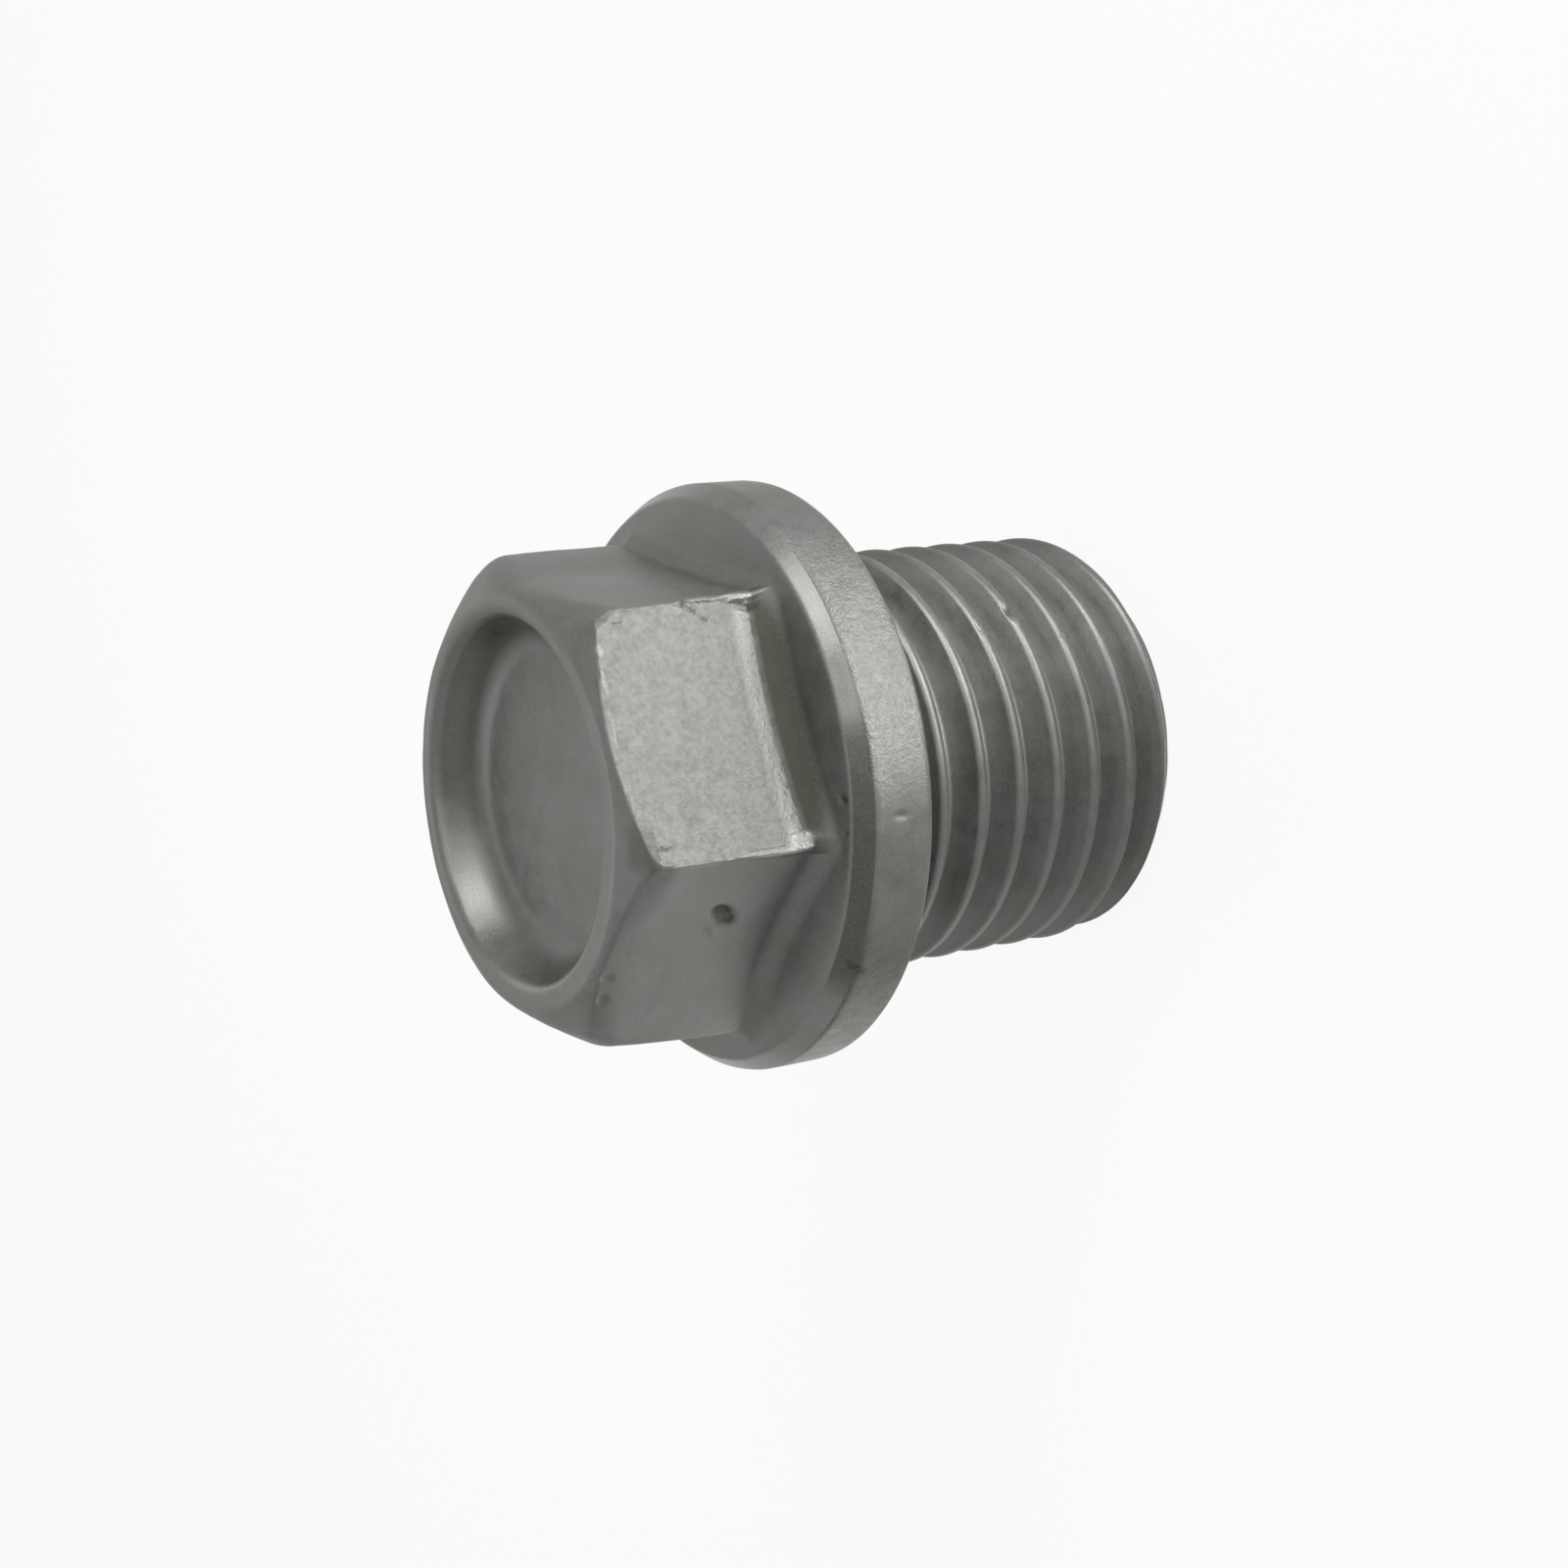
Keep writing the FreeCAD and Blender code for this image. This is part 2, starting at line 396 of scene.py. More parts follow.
def thread_section():
    """One pitch of the thread as (radius, height) points from a root's middle to the next."""
    flank = math.radians(FLANK_ANGLE)
    root_reach = ROOT_ROUND * math.cos(flank)
    half = THREAD_PITCH / 2
    rising = []
    for k in range(ROOT_POINTS):
        off = root_reach * k / (ROOT_POINTS - 1)
        r = ROOT_RADIUS + ROOT_ROUND - math.sqrt(ROOT_ROUND ** 2 - off ** 2)
        rising.append(Vector((r, off - half)))
    for k in range(CREST_POINTS):
        off = CREST_ROUND * math.sin((math.pi / 2 - flank) * (1 - k / (CREST_POINTS - 1)))
        r = CREST_RADIUS - CREST_ROUND + math.sqrt(CREST_ROUND ** 2 - off ** 2)
        rising.append(Vector((r, -off)))
    middle_of_flank = rising[ROOT_POINTS - 1].lerp(rising[ROOT_POINTS], 0.5)
    rising.insert(ROOT_POINTS, middle_of_flank)
    falling = [Vector((p.x, -p.y)) for p in reversed(rising[1:-1])]
    return rising + falling


NECK_GAP = 0.001            # the thread ends this far inside the neck


def envelope(z):
    """Largest radius of the shank: the tip's bevel, the crests and the cone down to the neck."""
    neck_start = BEARING_Z - NECK_LENGTH
    at_neck = NECK_RADIUS + (CREST_RADIUS - NECK_RADIUS) * (neck_start - z) / NECK_SLOPE
    return max(NECK_RADIUS - NECK_GAP, min(CREST_RADIUS, CREST_RADIUS - TIP_BEVEL + z, at_neck))


THREAD_TOP = BEARING_Z - NECK_LENGTH + 0.02


def rolled_thread(mesh):
    """Adds the thread, from below the tip face to inside the neck, and returns its vertices."""
    section = thread_section()
    first_turn = math.floor(-CREST_TURN / THREAD_PITCH) - 2
    last_turn = math.ceil((THREAD_TOP - CREST_TURN) / THREAD_PITCH) + 1
    columns = []
    for i in range(THREAD_COLUMNS):
        share = i / THREAD_COLUMNS
        angle = 2 * math.pi * share - math.pi / 2
        column = []
        for turn in range(first_turn, last_turn + 1):
            for p in section:
                z = CREST_TURN + THREAD_PITCH * (turn + share) + p.y
                r = min(p.x, envelope(z))
                column.append(mesh.verts.new((r * math.cos(angle), r * math.sin(angle), z)))
        columns.append(column)
    for i in range(THREAD_COLUMNS):
        column = columns[i]
        following = columns[(i + 1) % THREAD_COLUMNS]
        if i + 1 == THREAD_COLUMNS:
            following = following[len(section):]
        for k in range(len(following) - 1):
            mesh.faces.new((column[k], following[k], following[k + 1], column[k + 1]))
    return [v for column in columns for v in column]


def cut_level(mesh, verts, z, keep_above):
    """Cuts the thread square at one height and returns the edges round the cut."""
    faces = list(dict.fromkeys(f for v in verts for f in v.link_faces))
    edges = list(dict.fromkeys(e for f in faces for e in f.edges))
    facing = (0, 0, -1) if keep_above else (0, 0, 1)
    cut = bmesh.ops.bisect_plane(
        mesh, geom=verts + edges + faces, plane_co=(0, 0, z), plane_no=facing,
        clear_outer=True, dist=1e-5)
    return [e for e in cut["geom_cut"] if isinstance(e, bmesh.types.BMEdge)]


# Marks left by forging, plating and handling, and painted light and shade

MARKED_SIDE = 4.5           # a mark acts only this far out on its side, so not in the recess


class Mark:
    """A raised burr or a sunk dent: an ellipse with soft edges on one side of the plug."""

    def __init__(self, facing, across, height, length, width, lean, lift,
                 wear_and_sheen=0.0, stain=0.0, on_cone=False):
        self.facing = math.radians(facing)
        self.across = across
        self.height = height
        self.length = length
        self.width = width
        self.lean = math.radians(lean)
        self.lift = lift
        self.wear_and_sheen = wear_and_sheen
        self.stain = stain
        self.on_cone = on_cone

    def strength(self, place):
        """How strongly the mark acts at a place, from 0 to 1."""
        out = place.x * math.cos(self.facing) + place.y * math.sin(self.facing)
        if out < MARKED_SIDE:
            return 0.0
        right = -place.x * math.sin(self.facing) + place.y * math.cos(self.facing) - self.across
        up = (out if self.on_cone else place.z) - self.height
        along = (up * math.cos(self.lean) + right * math.sin(self.lean)) / self.length
        beside = (right * math.cos(self.lean) - up * math.sin(self.lean)) / self.width
        return soft_step(1 - along * along - beside * beside, 0, 0.75)

    def direction(self):
        if self.on_cone:
            return Vector((0, 0, 1))
        return Vector((math.cos(self.facing), math.sin(self.facing), 0))


def plug_marks():
    """Each mark's side, its middle across and up the side, half length, half width, lean and lift.

    On the cone, the middle is measured across and out from the axis.
    """
    return [
        # Rolled burr along the front flat's far corner, with a fold under its flange end
        Mark(FRONT, 3.98, 15.72, 0.85, 0.22, -4, 0.11, wear_and_sheen=0.8),
        Mark(FRONT, 4.00, 16.95, 0.95, 0.15, 0, 0.07, wear_and_sheen=0.5),
        Mark(FRONT, 3.62, 15.75, 0.50, 0.15, 22, -0.09, stain=0.4),
        # Torn notch in the same corner
        Mark(FRONT, 3.90, 17.72, 0.16, 0.16, 30, -0.10, stain=0.6),
        Mark(FRONT, 3.66, 17.45, 0.30, 0.12, 44, -0.08, stain=0.7),
        Mark(FRONT, 3.36, 17.12, 0.26, 0.10, 38, -0.07, stain=0.6),
        Mark(FRONT, 3.70, 17.98, 0.24, 0.16, 20, 0.05, wear_and_sheen=0.5),
        Mark(FRONT, 3.93, 19.30, 1.20, 0.10, 0, 0.03, wear_and_sheen=0.35),
        # Burr along the near corner, heaviest at the flange
        Mark(FRONT, -3.92, 16.70, 1.50, 0.17, 2, 0.08, wear_and_sheen=0.55),
        Mark(FRONT, -3.72, 15.72, 0.50, 0.36, 10, 0.10, wear_and_sheen=0.75),
        Mark(FRONT, -3.95, 19.10, 1.20, 0.10, 0, 0.04, wear_and_sheen=0.35),
        # Edge thrown up along the end chamfer
        Mark(FRONT, 2.72, 20.78, 0.16, 0.28, 0, 0.05, wear_and_sheen=0.8),
        Mark(FRONT, 3.55, 20.46, 0.14, 0.14, 0, 0.03, wear_and_sheen=0.4),
        Mark(FRONT, 1.80, 20.86, 0.12, 0.60, 0, 0.05, wear_and_sheen=0.6),
        Mark(FRONT, 0.40, 20.93, 0.10, 0.90, 0, 0.04, wear_and_sheen=0.45),
        Mark(FRONT, -1.60, 20.86, 0.10, 0.90, 0, 0.03, wear_and_sheen=0.35),
        # Small pits on the front flat
        Mark(FRONT, 3.50, 20.02, 0.28, 0.05, 0, -0.04, stain=0.5),
        Mark(FRONT, -3.36, 20.12, 0.38, 0.10, 3, -0.04, stain=0.45),
        Mark(FRONT, -1.60, 18.0, 0.14, 0.10, 40, -0.03, stain=0.3),
        Mark(FRONT, 2.10, 16.9, 0.20, 0.08, 60, -0.02, stain=0.2),
        Mark(FRONT, -2.40, 19.3, 0.16, 0.10, 10, -0.02, stain=0.2),
        Mark(FRONT, 1.30, 19.6, 0.24, 0.14, 60, -0.02, stain=0.2),
        # Pits on the flat to its left
        Mark(LEFT, 1.55, 17.62, 0.72, 0.34, 48, -0.13, stain=0.75),
        Mark(LEFT, 1.72, 17.66, 0.36, 0.12, 40, -0.07, stain=0.6),
        Mark(LEFT, 1.25, 17.30, 0.26, 0.14, 60, -0.05, stain=0.5),
        Mark(LEFT, 0.95, 17.80, 0.50, 0.18, 55, 0.04, wear_and_sheen=0.15),
        Mark(LEFT, -0.70, 20.85, 0.28, 0.20, 20, -0.06, stain=0.3),
        Mark(LEFT, -1.60, 20.75, 0.22, 0.24, 0, -0.05, stain=0.3),
        # Dings on the flange
        Mark(-109.5, 0.0, 8.75, 0.22, 0.12, -60, -0.06, stain=0.7, on_cone=True),
        Mark(-116, 0.0, 8.80, 0.16, 0.08, 30, -0.03, stain=0.4, on_cone=True),
        Mark(-113, 0.0, 13.25, 0.26, 0.14, 15, -0.05, stain=0.4),
        Mark(-143, 0.0, 14.15, 0.34, 0.10, 30, -0.08, stain=0.7),
        Mark(-88, 0.0, 13.35, 0.30, 0.22, 0, -0.03, wear_and_sheen=0.4),
        Mark(-74, 0.0, 12.95, 0.36, 0.20, 40, -0.03, wear_and_sheen=0.3),
        # Dings on the thread's crests
        Mark(-70.5, 0.0, 6.99, 0.14, 0.20, 30, -0.04, wear_and_sheen=1.0),
        Mark(-75.5, 0.0, 3.96, 0.12, 0.24, 30, -0.04, wear_and_sheen=1.0),
        Mark(-65.7, 0.0, 5.50, 0.22, 0.24, 20, -0.10, stain=0.5)]


# Directions of the crests' painted highlight, the coarse plating and the painted shade
HIGHLIT_CRESTS = -62
COARSE_RIM = -80
RECESS_SHADE = 40
CHAMFER_SHADE = -116
BAND_SHADE = -122
RIM_SHADE = -155

SHORTEST_STEP = 0.02
SMOOTHING_TURNS = 2


def edge_sharpness(mesh):
    """How far each vertex stands out of its neighbours: above 0 on an edge, below 0 in a corner."""
    sharp = []
    neighbours = []
    for v in mesh.verts:
        beside = [e.other_vert(v) for e in v.link_edges]
        steps = [v.co - other.co for other in beside]
        rises = [v.normal.dot(step) / max(step.length, SHORTEST_STEP) for step in steps]
        neighbours.append([other.index for other in beside])
        sharp.append(sum(rises) / len(rises))
    for turn in range(SMOOTHING_TURNS):
        means = [sum(sharp[k] for k in beside) / len(beside) for beside in neighbours]
        sharp = [(own + mean) / 2 for own, mean in zip(sharp, means)]
    return sharp


def unevenness(place):
    """Slow waves of a forged skin, in millimetres, never outwards."""
    slow = noise.noise(place * 0.45)
    quick = noise.noise(place * 1.7 + Vector((7, 3, 1)))
    return -0.02 * abs(slow) - 0.008 * abs(quick)


def around(angle, middle, start, end):
    """1 near a direction, fading to 0 between two turns from it."""
    return 1 - soft_step(turn_between(angle, middle), start, end)


def highlit_side(angle):
    """The side of the thread whose crests get a painted highlight."""
    return around(angle, HIGHLIT_CRESTS, 16, 32)


def burnish_and_sheen_share(place, angle):
    """Where the skin is smoother and lighter: smoothed by the tools on the recess wall and the
    flange's band, and a painted highlight on one side of the thread's crests.
    """
    r = math.hypot(place.x, place.y)
    if place.z < BEARING_Z - NECK_LENGTH:
        # On the thread: a painted highlight on one side of the crests, also smoother there.
        return 0.75 * highlit_side(angle) * soft_step(r, CREST_RADIUS - 0.85, CREST_RADIUS - 0.35)
    if place.z < FRONT_EDGE_Z + 0.05:
        outside = soft_step(r, CONE_EDGE - 0.1, CONE_EDGE + 0.05)
        return outside * soft_step(place.z, BAND_Z - 0.05, BAND_Z + 0.15)
    inside = 1 - soft_step(r, RECESS_RADIUS, RECESS_RADIUS + 0.2)
    return inside * soft_step(place.z, RECESS_FLOOR_Z + 0.35, RECESS_FLOOR_Z + 0.75)


WRINKLE_DEPTH = 0.02


def wrinkles(place):
    """Fine wrinkles of the coarse plating, all sunk below the surface."""
    return -WRINKLE_DEPTH * (0.5 + 0.5 * noise.fractal(place * 3.0, 0.7, 2.0, 2))


def coarse_share(place, angle, facing):
    """Where the plating lies rough: the front flat, and the rim below it."""
    if place.z > FRONT_EDGE_Z:
        return soft_step(facing, 0.93, 0.99)
    on_rim = soft_step(math.hypot(place.x, place.y), RIM_RADIUS - 0.12, RIM_RADIUS - 0.04)
    return 0.8 * on_rim * around(angle, COARSE_RIM, 12, 34)


def painted_shade_share(place, angle):
    """Painted shade: darker on one side of the recess wall, on a patch of the end chamfer, at the
    front flat's foot, on one side of the flange's band and rim, and on the crests away from their
    painted highlight.
    """
    r = math.hypot(place.x, place.y)
    z = place.z
    if r < RECESS_RADIUS + 0.1 and z > RECESS_FLOOR_Z + 0.05:
        up_the_wall = soft_step(z, RECESS_FLOOR_Z + 0.05, RECESS_FLOOR_Z + 0.35)
        below_lip = 1 - soft_step(z, END_Z - 0.4, END_Z - 0.1)
        return 0.5 * up_the_wall * below_lip * around(angle, RECESS_SHADE, 40, 60)
    if r > RECESS_RADIUS and z > END_Z - 0.9:
        return 0.45 * soft_step(r, 6.6, 7.1) * around(angle, CHAMFER_SHADE, 3, 10)
    if z > cone_height(r) - 0.01 and turn_between(angle, FRONT) < 31:
        foot_z = foot_height(angle)
        up_the_root = soft_step(z, foot_z - 0.85, foot_z - 0.4)
        below_foot = 1 - soft_step(z, foot_z - 0.08, foot_z)
        return (0.45 + 0.45 * up_the_root) * below_foot * (1 - soft_step(r, 7.7, 8.7))
    if BAND_Z < z < FRONT_EDGE_Z and r > CONE_EDGE:
        return 0.65 * around(angle, BAND_SHADE, 22, 34)
    if BEARING_Z < z <= BAND_Z:
        return 0.7 * around(angle, RIM_SHADE, 10, 32)
    if z < BEARING_Z - NECK_LENGTH:
        on_crest = soft_step(r, CREST_RADIUS - 0.3, CREST_RADIUS - 0.05)
        return 0.2 * (1 - highlit_side(angle)) * on_crest
    return 0.0


def painted_light_share(place, angle):
    """Painted light: a lighter colour in the thread's grooves and the neck, against their shade,
    and on the highlit crests.
    """
    in_groove = 1 - soft_step(math.hypot(place.x, place.y), CREST_RADIUS - 0.75, CREST_RADIUS - 0.1)
    below_flange = 1 - soft_step(place.z, BEARING_Z - 0.4, BEARING_Z)
    return below_flange * max(in_groove, 0.6 * highlit_side(angle))


def painted_foot_highlight(place, angle):
    """Painted highlight on the strip at the foot of the front flat, which is also a little
    smoother.
    """
    if place.z < FRONT_EDGE_Z or place.y > -6 or turn_between(angle, FRONT) > 30:
        return 0.0
    up = place.z - foot_height(angle)
    return soft_step(up, -0.05, 0.1) * (1 - soft_step(up, 0.35, 0.85))


SHARES = ("wear_and_sheen", "grime_and_shade", "coarse", "burnish_and_sheen", "painted_light")


def age(mesh):
    """Moves the surface by its marks and returns the shares that the finish needs at each point."""
    mesh.verts.index_update()
    mesh.normal_update()
    sharp = edge_sharpness(mesh)
    marks = plug_marks()
    shares = {name: [0.0] * len(sharp) for name in SHARES}
    for v in mesh.verts:
        place = v.co.copy()
        angle = math.degrees(math.atan2(place.y, place.x))
        ragged = 1 + 0.45 * noise.noise(place * 1.9)
        fine = 0.5 + 0.5 * noise.noise(place * 2.3 + Vector((1, 5, 9)))
        by_front_flat = around(angle, FRONT, 30.5, 34)
        wear_and_sheen = 0.0
        if place.z >= BEARING_Z:
            wear_and_sheen = max(0.0, sharp[v.index]) * (0.5 + 1.1 * by_front_flat) * fine
        # Painted highlight on the strip at the front flat's foot, carried by the wear share.
        wear_and_sheen += 0.8 * painted_foot_highlight(place, angle)
        # Painted shade: concave corners are darkened, on top of the set places of painted shade;
        # the marks add real grime.
        grime_and_shade = max(0.0, -sharp[v.index]) * 0.6 + painted_shade_share(place, angle)
        coarse = coarse_share(place, angle, -v.normal.y)
        shares["coarse"][v.index] = coarse
        # Painted light: a highlight on one side of the crests, and lighter grooves and neck.
        shares["burnish_and_sheen"][v.index] = burnish_and_sheen_share(place, angle)
        shares["painted_light"][v.index] = painted_light_share(place, angle)
        if place.z > BEARING_Z + 0.3:
            v.co += v.normal * (unevenness(place) + wrinkles(place) * coarse)
        for mark in marks:
            strength = mark.strength(place)
            if strength:
                v.co += mark.direction() * (mark.lift * strength * ragged)
                wear_and_sheen += mark.wear_and_sheen * strength
                grime_and_shade += mark.stain * strength
        shares["wear_and_sheen"][v.index] = wear_and_sheen
        shares["grime_and_shade"][v.index] = grime_and_shade
    return shares


SHARP_ANGLE = 38


def forged_plug():
    """The whole plug as one closed mesh."""
    mesh = bmesh.new()
    thread = rolled_thread(mesh)
    tip = cut_level(mesh, thread, 0, True)
    thread_end = cut_level(mesh, list(mesh.verts), THREAD_TOP, False)
    bmesh.ops.contextual_create(mesh, geom=tip)
    neck = head_and_flange(mesh)
    ring = set(neck)
    neck_end = dict.fromkeys(e for v in neck for e in v.link_edges if e.other_vert(v) in ring)
    bmesh.ops.bridge_loops(mesh, edges=thread_end + list(neck_end))
    bmesh.ops.recalc_face_normals(mesh, faces=mesh.faces)
    shares = age(mesh)
    for v in mesh.verts:
        v.co *= MM
    data = bpy.data.meshes.new("forged_plug")
    mesh.to_mesh(data)
    mesh.free()
    for name, values in shares.items():
        data.attributes.new(name, "FLOAT", "POINT").data.foreach_set("value", values)
    data.shade_smooth()
    data.set_sharp_from_angle(angle=math.radians(SHARP_ANGLE))
    plug = bpy.data.objects.new("forged_plug", data)
    bpy.context.scene.collection.objects.link(plug)
    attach(plug, "root")
    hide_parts("drain_plug")
    return plug


# Finishes

class Signal:
    """A shader value that adds, subtracts and multiplies like a number."""

    def __init__(self, finish, socket):
        self.finish = finish
        self.socket = socket

    def blend_with(self, operation, first, second):
        out = self.finish.node("ShaderNodeMath", {"operation": operation}, {0: first, 1: second})
        return out("Value")

    def __add__(self, other):
        return self.blend_with("ADD", self, other)

    def __radd__(self, other):
        return self.blend_with("ADD", other, self)

    def __sub__(self, other):
        return self.blend_with("SUBTRACT", self, other)

    def __rsub__(self, other):
        return self.blend_with("SUBTRACT", other, self)

    def __mul__(self, other):
        return self.blend_with("MULTIPLY", self, other)

    def __rmul__(self, other):
        return self.blend_with("MULTIPLY", other, self)

    def ramp(self, low, high, start=0.0, end=1.0):
        """Soft step from start to end as the value goes from low to high."""
        settings = {"interpolation_type": "SMOOTHSTEP"}
        values = {"Value": self, "From Min": low, "From Max": high, "To Min": start, "To Max": end}
        return self.finish.node("ShaderNodeMapRange", settings, values)("Result")


class Finish:
    """The nodes of one material or world: makes them and sets the shader."""

    def __init__(self, owner):
        self.owner = owner
        owner.use_nodes = True
        self.tree = owner.node_tree
        self.tree.nodes.clear()

    def node(self, kind, settings, values):
        """Adds one node and returns a function from output name to signal."""
        made = self.tree.nodes.new(kind)
        for name, value in settings.items():
            setattr(made, name, value)
        for key, value in values.items():
            if isinstance(value, Signal):
                self.tree.links.new(value.socket, made.inputs[key])
            else:
                made.inputs[key].default_value = value
        return lambda name: Signal(self, made.outputs[name])

    def place(self):
        """Place on the object in millimetres."""
        spot = self.node("ShaderNodeTexCoord", {}, {})("Object")
        values = {0: spot, "Scale": 1 / MM}
        return self.node("ShaderNodeVectorMath", {"operation": "SCALE"}, values)("Vector")

    def mottle(self, place, per_mm, detail=3.0, roughness=0.55):
        """Cloudy noise with so many blobs for each millimetre."""
        values = {"Vector": place, "Scale": per_mm, "Detail": detail, "Roughness": roughness}
        return self.node("ShaderNodeTexNoise", {"noise_dimensions": "3D"}, values)("Fac")

    def tint(self, share, first, second):
        """Colour between two others, each a colour or a signal."""
        return self.node("ShaderNodeMix", {"data_type": "RGBA"}, {0: share, 6: first, 7: second})(2)

    def share(self, name):
        """A share from 0 to 1 that the mesh carries at each of its points."""
        settings = {"attribute_type": "GEOMETRY", "attribute_name": name}
        return self.node("ShaderNodeAttribute", settings, {})("Fac")

    def surface(self, kind, values, output="ShaderNodeOutputMaterial"):
        """Adds the shader and joins it to the output."""
        shader = self.node(kind, {}, values)(0)
        self.node(output, {}, {"Surface": shader})


# Colours, from the darker to the lighter patches of each
OLIVE_SKIN = ((0.096, 0.100, 0.086, 1), (0.134, 0.138, 0.122, 1))
COOL_SKIN = ((0.099, 0.102, 0.097, 1), (0.138, 0.141, 0.136, 1))
# LIGHTER_ZINC also gives the painted light in the thread's grooves and neck and on the highlit
# crests.
LIGHTER_ZINC = ((0.165, 0.169, 0.156, 1), (0.215, 0.219, 0.204, 1))
CRUSTED_ZINC = ((0.112, 0.115, 0.104, 1), (0.180, 0.183, 0.170, 1))
# Worn metal, also the colour of the painted highlight at the front flat's foot.
WEAR_AND_SHEEN_METAL = (0.25, 0.252, 0.237, 1)
# Dark colour for grime in pits and dings, and for painted shade.
GRIME_AND_SHADE_COLOUR = (0.045, 0.046, 0.036, 1)
METAL_SHARE = 0.75
RELIEF_STRENGTH = 0.4
RELIEF_HEIGHT = 0.06


def zinc_plating():
    """Matt grey zinc over a forged skin, brighter where it wears and dull in its pits, with painted
    light and shade: lighter in the thread's grooves, on one side of the crests and at the front
    flat's foot, darker in hollows and on set sides.
    """
    finish = Finish(bpy.data.materials.new("zinc_plating"))
    place = finish.place()
    wear_and_sheen = finish.share("wear_and_sheen")
    grime_and_shade = finish.share("grime_and_shade")
    coarse = finish.share("coarse")
    burnish_and_sheen = finish.share("burnish_and_sheen")
    painted_light = finish.share("painted_light")
    cloud = finish.mottle(place, 0.35, 2.0)
    blotch = finish.mottle(place, 1.6, 3.0, 0.6)
    grain = finish.mottle(place, 11.0, 3.0, 0.6)
    crust = finish.mottle(place, 5.5, 5.0, 0.62)
    speck = finish.mottle(place, 26.0, 2.0, 0.5)
    patches = (cloud * 0.2 + blotch * 0.3 + grain * 0.3 + speck * 0.2).ramp(0.36, 0.64)
    olive = finish.tint(patches, *OLIVE_SKIN)
    cool = finish.tint(patches, *COOL_SKIN)
    skin = finish.tint(cloud.ramp(0.35, 0.65), olive, cool)
    lighter = finish.tint(patches, *LIGHTER_ZINC)
    # Painted light in the thread's grooves and neck and on the highlit crests; also lighter where
    # the tools smoothed the skin.
    even = finish.tint(painted_light * 0.65 + burnish_and_sheen * 0.4, skin, lighter)
    crust_patches = crust * 0.55 + blotch * 0.3 + cloud * 0.15
    crusted = finish.tint(crust_patches.ramp(0.32, 0.66), *CRUSTED_ZINC)
    plain = finish.tint(coarse, even, crusted)
    uneven = 0.6 + grain * 0.8
    # Wear on edges and marks, and the painted highlight at the front flat's foot.
    wear_and_sheen_colour = finish.tint((wear_and_sheen * uneven).ramp(0.15, 1.0), plain, WEAR_AND_SHEEN_METAL)
    # Darker for grime in pits and dings, and for painted shade in corners, hollows and on set
    # sides.
    colour = finish.tint((grime_and_shade * uneven).ramp(0.1, 0.9), wear_and_sheen_colour, GRIME_AND_SHADE_COLOUR)
    rough = (grain * 0.5 + blotch * 0.5).ramp(0.35, 0.65, 0.43, 0.53)
    smoothed = burnish_and_sheen * 0.17 + wear_and_sheen.ramp(0.1, 0.8) * 0.08
    relief = grain * 0.25 + blotch * 0.25 + speck * 0.08 + (crust * 4.0 + grain * 1.2) * coarse
    bump = finish.node("ShaderNodeBump", {}, {
        "Strength": RELIEF_STRENGTH,
        "Distance": RELIEF_HEIGHT * MM,
        "Height": relief})
    finish.surface("ShaderNodeBsdfPrincipled", {
        "Base Color": colour,
        "Metallic": METAL_SHARE,
        "Roughness": rough - smoothed,
        "Normal": bump("Normal")})
    return finish.owner


def white_where_seen(finish, lit_share):
    """1 where a background is seen, by the camera or in the metal, and less for other light."""
    ray = finish.node("ShaderNodeLightPath", {}, {})
    seen = ray("Is Camera Ray") + ray("Is Glossy Ray") + ray("Is Transmission Ray")
    return seen.ramp(0.0, 1.0, lit_share, 1.0)


# Studio

WHITE = (1, 1, 1, 1)
PALE_GREY = (0.85, 0.85, 0.85, 1)
FLOOR_RADIUS = 2500.0
WHITE_SHARE = 0.92          # of the floor where it is seen; the rest takes the light and the shadow
WORLD_LIGHT = 0.2


def studio_floor():
    mesh = bmesh.new()
    bmesh.ops.create_circle(mesh, cap_ends=True, segments=96, radius=FLOOR_RADIUS * MM)
    data = bpy.data.meshes.new("floor")
    mesh.to_mesh(data)
    mesh.free()
    floor = bpy.data.objects.new("floor", data)
    bpy.context.scene.collection.objects.link(floor)
    finish = Finish(bpy.data.materials.new("pale_floor"))
    lit = finish.node("ShaderNodeBsdfDiffuse", {}, {"Color": PALE_GREY})("BSDF")
    white = finish.node("ShaderNodeEmission", {}, {"Color": WHITE, "Strength": 1.0})("Emission")
    share = white_where_seen(finish, 0.0) * WHITE_SHARE
    finish.surface("ShaderNodeMixShader", {0: share, 1: lit, 2: white})
    floor.data.materials.append(finish.owner)


def studio_world():
    world = bpy.data.worlds.new("studio")
    bpy.context.scene.world = world
    finish = Finish(world)
    seen = {"Color": WHITE, "Strength": white_where_seen(finish, WORLD_LIGHT)}
    finish.surface("ShaderNodeBackground", seen, "ShaderNodeOutputWorld")


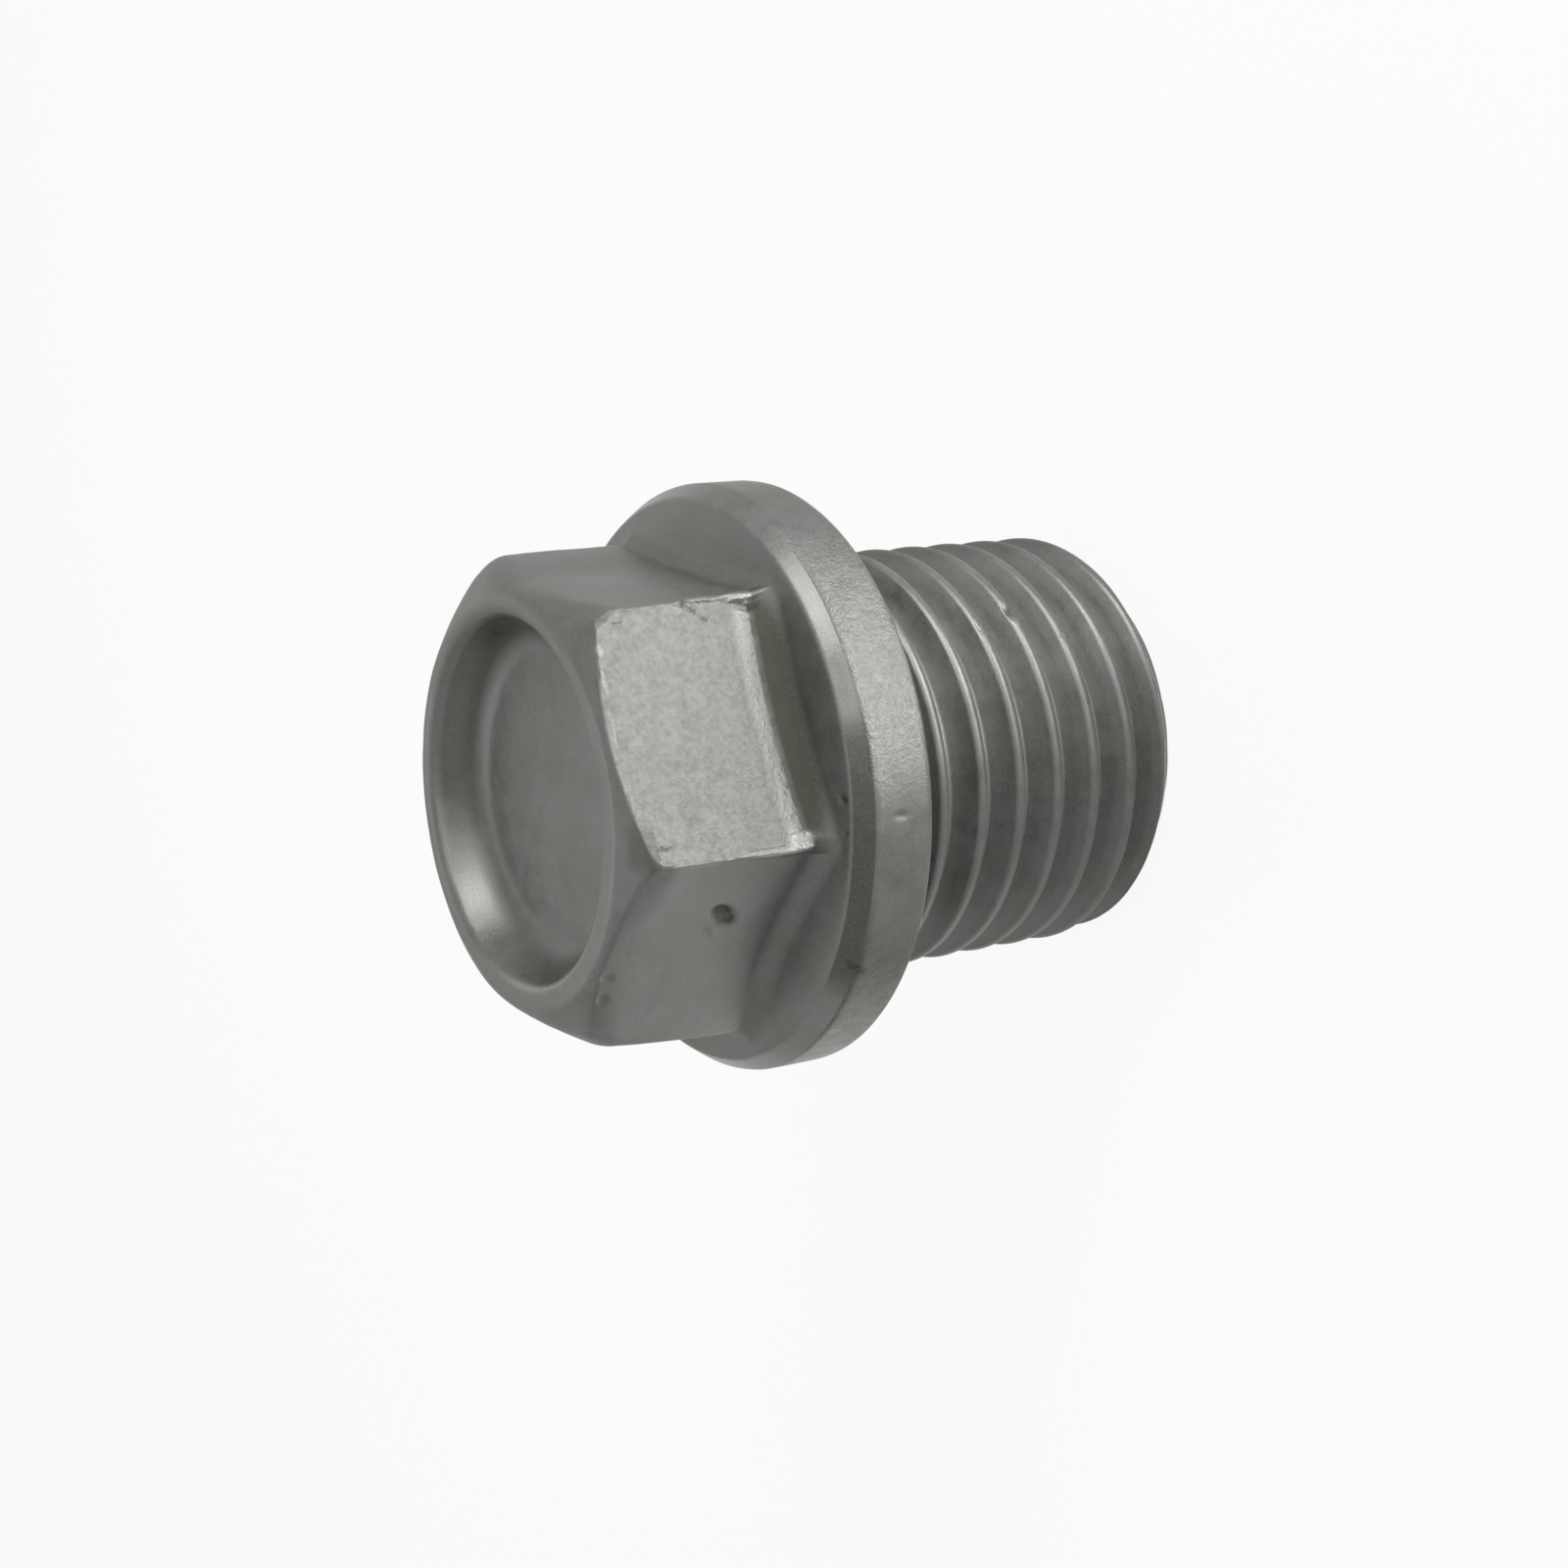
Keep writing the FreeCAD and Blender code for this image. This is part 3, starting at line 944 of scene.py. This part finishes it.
def soft_lamp(name, place, target, width, height, brightness):
    """Softbox at a place in millimetres, facing a target; a white wall has a brightness of 1."""
    light = bpy.data.lights.new(name, "AREA")
    light.shape = "RECTANGLE"
    light.size = width * MM
    light.size_y = height * MM
    light.energy = brightness * math.pi * light.size * light.size_y
    lamp = bpy.data.objects.new(name, light)
    bpy.context.scene.collection.objects.link(lamp)
    lamp.location = Vector(place) * MM
    aim = (Vector(target) - Vector(place)).normalized()
    lamp.rotation_euler = aim.to_track_quat("-Z", "Y").to_euler()


PLUG_MIDDLE = (0.0, 0.0, 12.0)

# Camera, solved from the photograph
CAMERA_PLACE = (-15.129, -70.360, 56.082)
CAMERA_FORWARD = (0.17307, 0.83161, -0.52770)
CAMERA_UP = (0.95603, -0.27064, -0.11296)
CAMERA_LENS = 59.215
SENSOR_WIDTH = 36.0
NEAR_CLIP = 5.0


def photograph_camera():
    camera_data = bpy.data.cameras.new("camera")
    camera_data.sensor_width = SENSOR_WIDTH
    camera_data.lens = CAMERA_LENS
    camera_data.clip_start = NEAR_CLIP * MM
    camera = bpy.data.objects.new("camera", camera_data)
    bpy.context.scene.collection.objects.link(camera)
    back = -Vector(CAMERA_FORWARD).normalized()
    right = Vector(CAMERA_UP).cross(back).normalized()
    up = back.cross(right)
    turn = Matrix((right, up, back)).transposed().to_4x4()
    camera.matrix_world = Matrix.Translation(Vector(CAMERA_PLACE) * MM) @ turn
    bpy.context.scene.camera = camera


plug = forged_plug()
plug.data.materials.append(zinc_plating())

studio_floor()
studio_world()
soft_lamp("front_lamp", (0, -147, 43), PLUG_MIDDLE, 70, 70, 2.6)
soft_lamp("low_side_lamp", (104, -104, 43), PLUG_MIDDLE, 70, 60, 4.6)
soft_lamp("side_lamp", (108, -80, 84), PLUG_MIDDLE, 90, 60, 3.4)
soft_lamp("high_front_lamp", (30, -100, 122), PLUG_MIDDLE, 110, 110, 1.1)
soft_lamp("high_back_lamp", (0, 75, 142), PLUG_MIDDLE, 80, 80, 2.3)
soft_lamp("back_lamp", (84, 100, 87), PLUG_MIDDLE, 70, 70, 0.8)
soft_lamp("low_panel", (8, -39, 0.6), (8, -39, 100), 32, 32, 12.5)
soft_lamp("low_left_panel", (-31, 6, 0.6), (-31, 6, 100), 28, 28, 1.5)
photograph_camera()
bpy.context.scene.view_settings.view_transform = "Standard"
